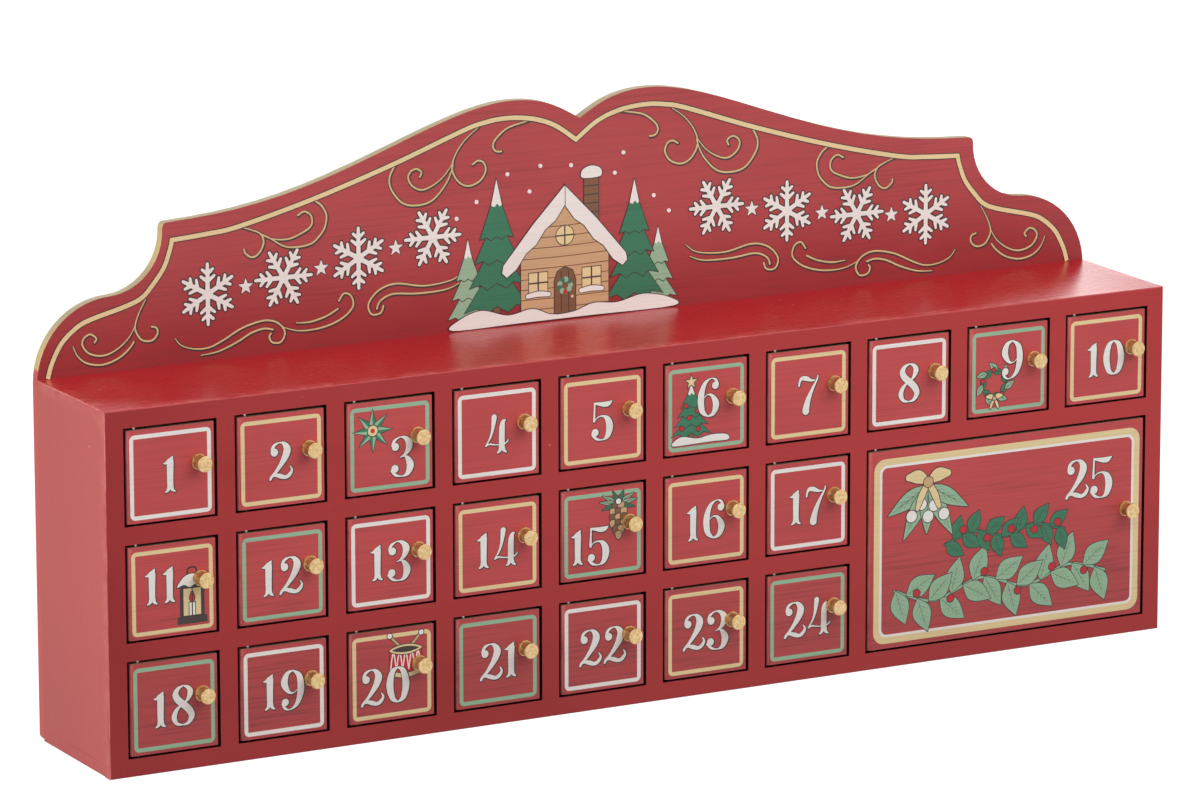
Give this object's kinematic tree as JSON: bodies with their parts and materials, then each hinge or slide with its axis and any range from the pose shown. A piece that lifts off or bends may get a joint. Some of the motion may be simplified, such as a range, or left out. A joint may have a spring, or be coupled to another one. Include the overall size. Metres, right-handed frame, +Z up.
{
  "type": "advent calendar",
  "caption": "Free-standing wooden advent calendar: a shallow red box with small numbered doors on pin hinges, brass knobs and a shaped crest board with scrollwork.",
  "frame": {"origin": "centre of the base's footprint, midway between the front face and the back face, at the underside", "axes": "+Z up, +X to the right as seen from the front, +Y from the front to the back"},
  "size_m": [0.48, 0.0735, 0.2383],
  "materials": {
    "red_paint": "satin red paint",
    "door_paint": "satin red paint",
    "crest_paint": "satin red paint",
    "bare_board": "bare board",
    "brass": "brushed brass",
    "steel": "bare steel"
  },
  "bodies": {
    "case": {"front_frame": "red_paint", "back_panel": "crest_paint", "top_board": "red_paint", "bottom_board": "red_paint", "side_boards": "red_paint", "shelves": "bare_board", "dividers": "bare_board", "hinge_pins": "steel", "door_stops": "bare_board", "back_panel_nails": "steel"},
    "leaf_01": {"door_01": "door_paint", "knob_01": "brass"},
    "leaf_02": {"door_02": "door_paint", "knob_02": "brass"},
    "leaf_03": {"door_03": "door_paint", "knob_03": "brass"},
    "leaf_04": {"door_04": "door_paint", "knob_04": "brass"},
    "leaf_05": {"door_05": "door_paint", "knob_05": "brass"},
    "leaf_06": {"door_06": "door_paint", "knob_06": "brass"},
    "leaf_07": {"door_07": "door_paint", "knob_07": "brass"},
    "leaf_08": {"door_08": "door_paint", "knob_08": "brass"},
    "leaf_09": {"door_09": "door_paint", "knob_09": "brass"},
    "leaf_10": {"door_10": "door_paint", "knob_10": "brass"},
    "leaf_11": {"door_11": "door_paint", "knob_11": "brass"},
    "leaf_12": {"door_12": "door_paint", "knob_12": "brass"},
    "leaf_13": {"door_13": "door_paint", "knob_13": "brass"},
    "leaf_14": {"door_14": "door_paint", "knob_14": "brass"},
    "leaf_15": {"door_15": "door_paint", "knob_15": "brass"},
    "leaf_16": {"door_16": "door_paint", "knob_16": "brass"},
    "leaf_17": {"door_17": "door_paint", "knob_17": "brass"},
    "leaf_18": {"door_18": "door_paint", "knob_18": "brass"},
    "leaf_19": {"door_19": "door_paint", "knob_19": "brass"},
    "leaf_20": {"door_20": "door_paint", "knob_20": "brass"},
    "leaf_21": {"door_21": "door_paint", "knob_21": "brass"},
    "leaf_22": {"door_22": "door_paint", "knob_22": "brass"},
    "leaf_23": {"door_23": "door_paint", "knob_23": "brass"},
    "leaf_24": {"door_24": "door_paint", "knob_24": "brass"},
    "leaf_25": {"door_25": "door_paint", "knob_25": "brass"}
  },
  "joints": [
    {"name": "hinge_01", "type": "hinge", "parent": "case", "child": "leaf_01", "pos_m": [-0.2268, -0.0312, 0.1194], "axis": [0, 0, -1], "range_deg": [0, 125]},
    {"name": "hinge_02", "type": "hinge", "parent": "case", "child": "leaf_02", "pos_m": [-0.1796, -0.0312, 0.1194], "axis": [0, 0, -1], "range_deg": [0, 125]},
    {"name": "hinge_03", "type": "hinge", "parent": "case", "child": "leaf_03", "pos_m": [-0.1324, -0.0312, 0.1194], "axis": [0, 0, -1], "range_deg": [0, 125]},
    {"name": "hinge_04", "type": "hinge", "parent": "case", "child": "leaf_04", "pos_m": [-0.0852, -0.0312, 0.1194], "axis": [0, 0, -1], "range_deg": [0, 125]},
    {"name": "hinge_05", "type": "hinge", "parent": "case", "child": "leaf_05", "pos_m": [-0.038, -0.0312, 0.1194], "axis": [0, 0, -1], "range_deg": [0, 125]},
    {"name": "hinge_06", "type": "hinge", "parent": "case", "child": "leaf_06", "pos_m": [0.0092, -0.0312, 0.1194], "axis": [0, 0, -1], "range_deg": [0, 125]},
    {"name": "hinge_07", "type": "hinge", "parent": "case", "child": "leaf_07", "pos_m": [0.0564, -0.0312, 0.1194], "axis": [0, 0, -1], "range_deg": [0, 125]},
    {"name": "hinge_08", "type": "hinge", "parent": "case", "child": "leaf_08", "pos_m": [0.1036, -0.0312, 0.1194], "axis": [0, 0, -1], "range_deg": [0, 125]},
    {"name": "hinge_09", "type": "hinge", "parent": "case", "child": "leaf_09", "pos_m": [0.1508, -0.0312, 0.1194], "axis": [0, 0, -1], "range_deg": [0, 125]},
    {"name": "hinge_10", "type": "hinge", "parent": "case", "child": "leaf_10", "pos_m": [0.198, -0.0312, 0.1194], "axis": [0, 0, -1], "range_deg": [0, 125]},
    {"name": "hinge_11", "type": "hinge", "parent": "case", "child": "leaf_11", "pos_m": [-0.2268, -0.0312, 0.0731], "axis": [0, 0, -1], "range_deg": [0, 125]},
    {"name": "hinge_12", "type": "hinge", "parent": "case", "child": "leaf_12", "pos_m": [-0.1796, -0.0312, 0.0731], "axis": [0, 0, -1], "range_deg": [0, 125]},
    {"name": "hinge_13", "type": "hinge", "parent": "case", "child": "leaf_13", "pos_m": [-0.1324, -0.0312, 0.0731], "axis": [0, 0, -1], "range_deg": [0, 125]},
    {"name": "hinge_14", "type": "hinge", "parent": "case", "child": "leaf_14", "pos_m": [-0.0852, -0.0312, 0.0731], "axis": [0, 0, -1], "range_deg": [0, 125]},
    {"name": "hinge_15", "type": "hinge", "parent": "case", "child": "leaf_15", "pos_m": [-0.038, -0.0312, 0.0731], "axis": [0, 0, -1], "range_deg": [0, 125]},
    {"name": "hinge_16", "type": "hinge", "parent": "case", "child": "leaf_16", "pos_m": [0.0092, -0.0312, 0.0731], "axis": [0, 0, -1], "range_deg": [0, 125]},
    {"name": "hinge_17", "type": "hinge", "parent": "case", "child": "leaf_17", "pos_m": [0.0564, -0.0312, 0.0731], "axis": [0, 0, -1], "range_deg": [0, 125]},
    {"name": "hinge_18", "type": "hinge", "parent": "case", "child": "leaf_18", "pos_m": [-0.2268, -0.0312, 0.0268], "axis": [0, 0, -1], "range_deg": [0, 125]},
    {"name": "hinge_19", "type": "hinge", "parent": "case", "child": "leaf_19", "pos_m": [-0.1796, -0.0312, 0.0268], "axis": [0, 0, -1], "range_deg": [0, 125]},
    {"name": "hinge_20", "type": "hinge", "parent": "case", "child": "leaf_20", "pos_m": [-0.1324, -0.0312, 0.0268], "axis": [0, 0, -1], "range_deg": [0, 125]},
    {"name": "hinge_21", "type": "hinge", "parent": "case", "child": "leaf_21", "pos_m": [-0.0852, -0.0312, 0.0268], "axis": [0, 0, -1], "range_deg": [0, 125]},
    {"name": "hinge_22", "type": "hinge", "parent": "case", "child": "leaf_22", "pos_m": [-0.038, -0.0312, 0.0268], "axis": [0, 0, -1], "range_deg": [0, 125]},
    {"name": "hinge_23", "type": "hinge", "parent": "case", "child": "leaf_23", "pos_m": [0.0092, -0.0312, 0.0268], "axis": [0, 0, -1], "range_deg": [0, 125]},
    {"name": "hinge_24", "type": "hinge", "parent": "case", "child": "leaf_24", "pos_m": [0.0564, -0.0312, 0.0268], "axis": [0, 0, -1], "range_deg": [0, 125]},
    {"name": "hinge_25", "type": "hinge", "parent": "case", "child": "leaf_25", "pos_m": [0.1036, -0.0312, 0.04995], "axis": [0, 0, -1], "range_deg": [0, 125]}
  ]
}
